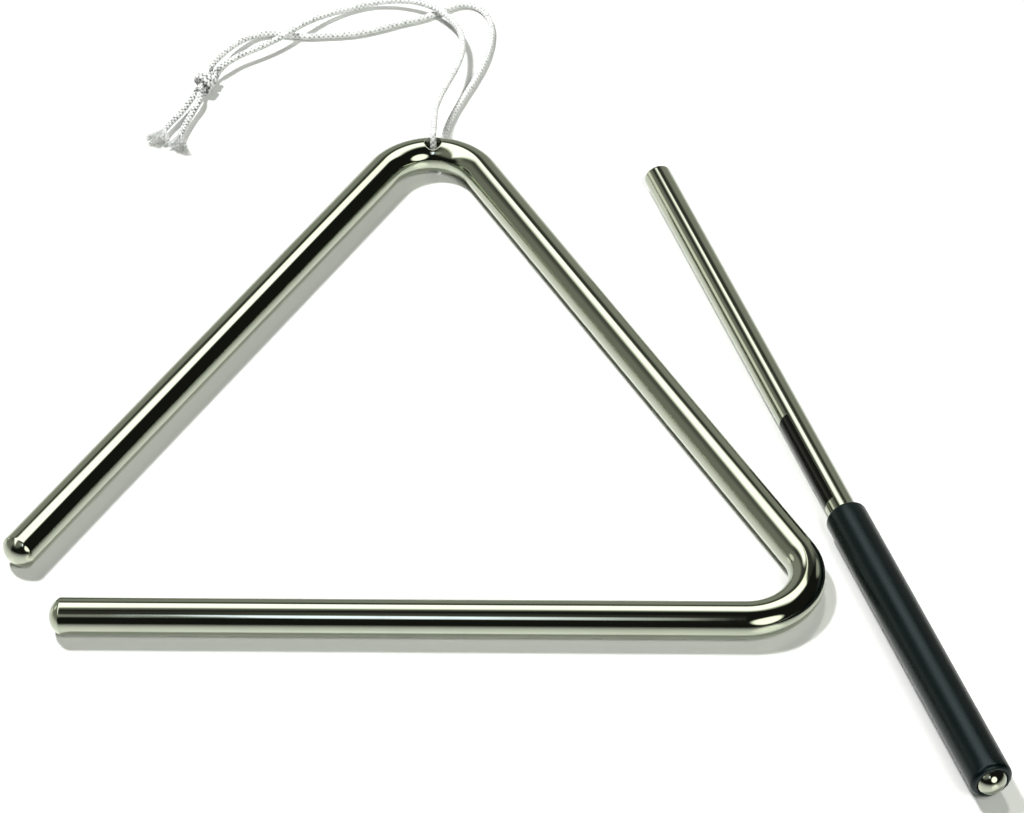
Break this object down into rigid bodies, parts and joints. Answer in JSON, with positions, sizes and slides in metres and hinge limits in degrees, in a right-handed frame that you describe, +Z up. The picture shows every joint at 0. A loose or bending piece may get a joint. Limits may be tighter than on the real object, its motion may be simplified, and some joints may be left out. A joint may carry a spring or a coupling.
{
  "type": "triangle instrument",
  "caption": "Bent steel bar instrument, open at a corner and hung on a knotted cord loop, struck to ring with a straight steel beater in a sleeve grip.",
  "frame": {"origin": "on the surface that the set lies on, in the middle of the box round the bar and the beater", "axes": "+Z up from that surface, +X along the triangle's lower side away from the open corner, +Y from the lower side towards the top bend and its cord"},
  "size_m": [0.2624, 0.3211, 0.0125],
  "materials": {
    "bar_plating": "polished nickel plate",
    "rod_plating": "polished nickel plate",
    "cord": "white braid",
    "grip": "satin black"
  },
  "bodies": {
    "triangle": {"triangle_bar": "bar_plating", "cord_in_hole": "cord"},
    "cord_loop": {"cord_upper_turn": "cord", "cord_lower_turn": "cord", "cord_upper_strand": "cord", "cord_lower_strand": "cord", "cord_knot": "cord", "cord_left_tail": "cord", "cord_right_tail": "cord"},
    "beater": {"beater_rod": "rod_plating", "beater_grip": "grip"}
  },
  "joints": [
    {"name": "loop_swing", "type": "hinge", "parent": "triangle", "child": "cord_loop", "pos_m": [-0.02353, 0.12007, 0.005], "axis": [1, 0, 0], "range_deg": [0, 150], "deforming": ["cord_upper_turn", "cord_lower_turn"]},
    {"name": "beater_lift", "type": "slide", "parent": "triangle", "child": "beater", "axis": [0, 0, 1], "range_m": [0, 0.2]}
  ]
}
